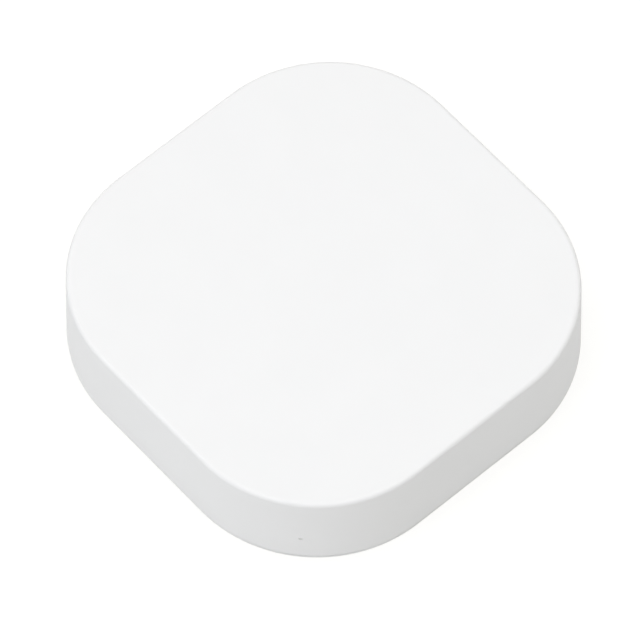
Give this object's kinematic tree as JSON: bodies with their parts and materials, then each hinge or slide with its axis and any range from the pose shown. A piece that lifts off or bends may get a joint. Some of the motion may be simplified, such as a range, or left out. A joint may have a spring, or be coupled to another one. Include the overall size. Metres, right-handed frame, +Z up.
{
  "type": "smart home hub",
  "caption": "Low rounded-square smart home hub with a slide-off wall bracket, back sockets, boards and a backup battery inside.",
  "frame": {"origin": "middle of the case's footprint, at the table", "axes": "+Z up, +Y towards the back with its sockets, +X to the right seen from the front"},
  "size_m": [0.163, 0.163, 0.037],
  "materials": {
    "shell_white": "fine satin texture",
    "base_white": "fine matte texture",
    "port_plate_grey": "fine matte texture",
    "button_grey": "satin",
    "foot_rubber": "matte",
    "screw_steel": "zinc plated",
    "label_silver": "blank satin film",
    "socket_black": "moulded nylon",
    "nickel": "nickel plated",
    "jack_black": "moulded",
    "contact_gold": "gold plated",
    "lamp_tint": "tinted, translucent",
    "can_tin": "tinned sheet",
    "tray_white": "satin",
    "card_white": "card stock",
    "switch_black": "moulded",
    "acetal_white": "satin",
    "spring_steel": "drawn wire",
    "lamp_white": "phosphor filled",
    "clear_plastic": "clear polycarbonate",
    "board_green": "solder resist",
    "board_tan": "bare laminate",
    "coax_grey": "extruded jacket",
    "chip_black": "moulded epoxy",
    "pad_blue": "soft filled silicone",
    "sink_black": "black anodised",
    "chip_ceramic": "fired",
    "ferrite": "sintered ferrite",
    "winding_tape": "yellow tape over copper",
    "capacitor_sleeve": "shrunk sleeve on aluminium",
    "choke_copper": "enamelled copper on ferrite",
    "fuse_glass": "glass tube in plated caps",
    "capacitor_yellow": "moulded box",
    "barrier_film": "clear polyester sheet",
    "cell_wrap": "shrunk film",
    "strap_black": "woven tape",
    "lead_red": "extruded jacket"
  },
  "bodies": {
    "housing": {"top_shell": "shell_white", "base_cover": "base_white", "battery_tray": "base_white", "rear_port_plate": "port_plate_grey", "case_screws": "screw_steel", "board_screws": "screw_steel", "rating_label": "label_silver", "mains_inlet": "socket_black", "board_link": "socket_black", "inlet_pins": "nickel", "ethernet_jack": "jack_black", "jack_contacts": "contact_gold", "antenna_plugs": "contact_gold", "jack_lamps": "lamp_tint", "sim_cage": "can_tin", "cellular_module": "can_tin", "wifi_module": "can_tin", "radio_module": "can_tin", "power_switch": "switch_black", "tamper_switch": "switch_black", "battery_socket": "acetal_white", "tamper_spring": "spring_steel", "status_lamp": "lamp_white", "light_pipe": "clear_plastic", "main_board": "board_green", "antenna_left": "board_green", "antenna_right": "board_green", "power_board": "board_tan", "antenna_leads": "coax_grey", "processor": "chip_black", "memory_chips": "chip_black", "thermal_pad": "pad_blue", "heat_sink": "sink_black", "small_parts": "chip_ceramic", "transformer_core": "ferrite", "transformer_winding": "winding_tape", "bulk_capacitors": "capacitor_sleeve", "output_capacitors": "capacitor_sleeve", "mains_choke": "choke_copper", "mains_fuse": "fuse_glass", "line_capacitor": "capacitor_yellow", "insulation_barrier": "barrier_film", "battery_pack": "cell_wrap", "battery_strap": "strap_black", "battery_leads": "lead_red"},
    "bracket": {"mounting_bracket": "base_white", "rubber_feet": "foot_rubber"},
    "button": {"power_button": "button_grey", "switch_plunger": "acetal_white"},
    "sim_drawer": {"sim_tray": "tray_white", "sim_card": "card_white"},
    "tamper_pin": {"tamper_plunger": "acetal_white"}
  },
  "joints": [
    {"name": "bracket_slide", "type": "slide", "parent": "housing", "child": "bracket", "axis": [0, 1, 0], "range_m": [0, 0.01]},
    {"name": "tamper_drop", "type": "slide", "parent": "housing", "child": "tamper_pin", "axis": [0, 0, -1], "range_m": [0, 0.00125], "deforming": ["tamper_spring"]},
    {"name": "power_press", "type": "slide", "parent": "housing", "child": "button", "axis": [0, -1, 0], "range_m": [0, 0.0007], "stiffness_N_per_m": 1500},
    {"name": "sim_slide", "type": "slide", "parent": "housing", "child": "sim_drawer", "axis": [0, 1, 0], "range_m": [0, 0.022]}
  ],
  "couplings": [
    {"joint": "tamper_drop", "follows": "bracket_slide", "ratio": 0.12}
  ]
}
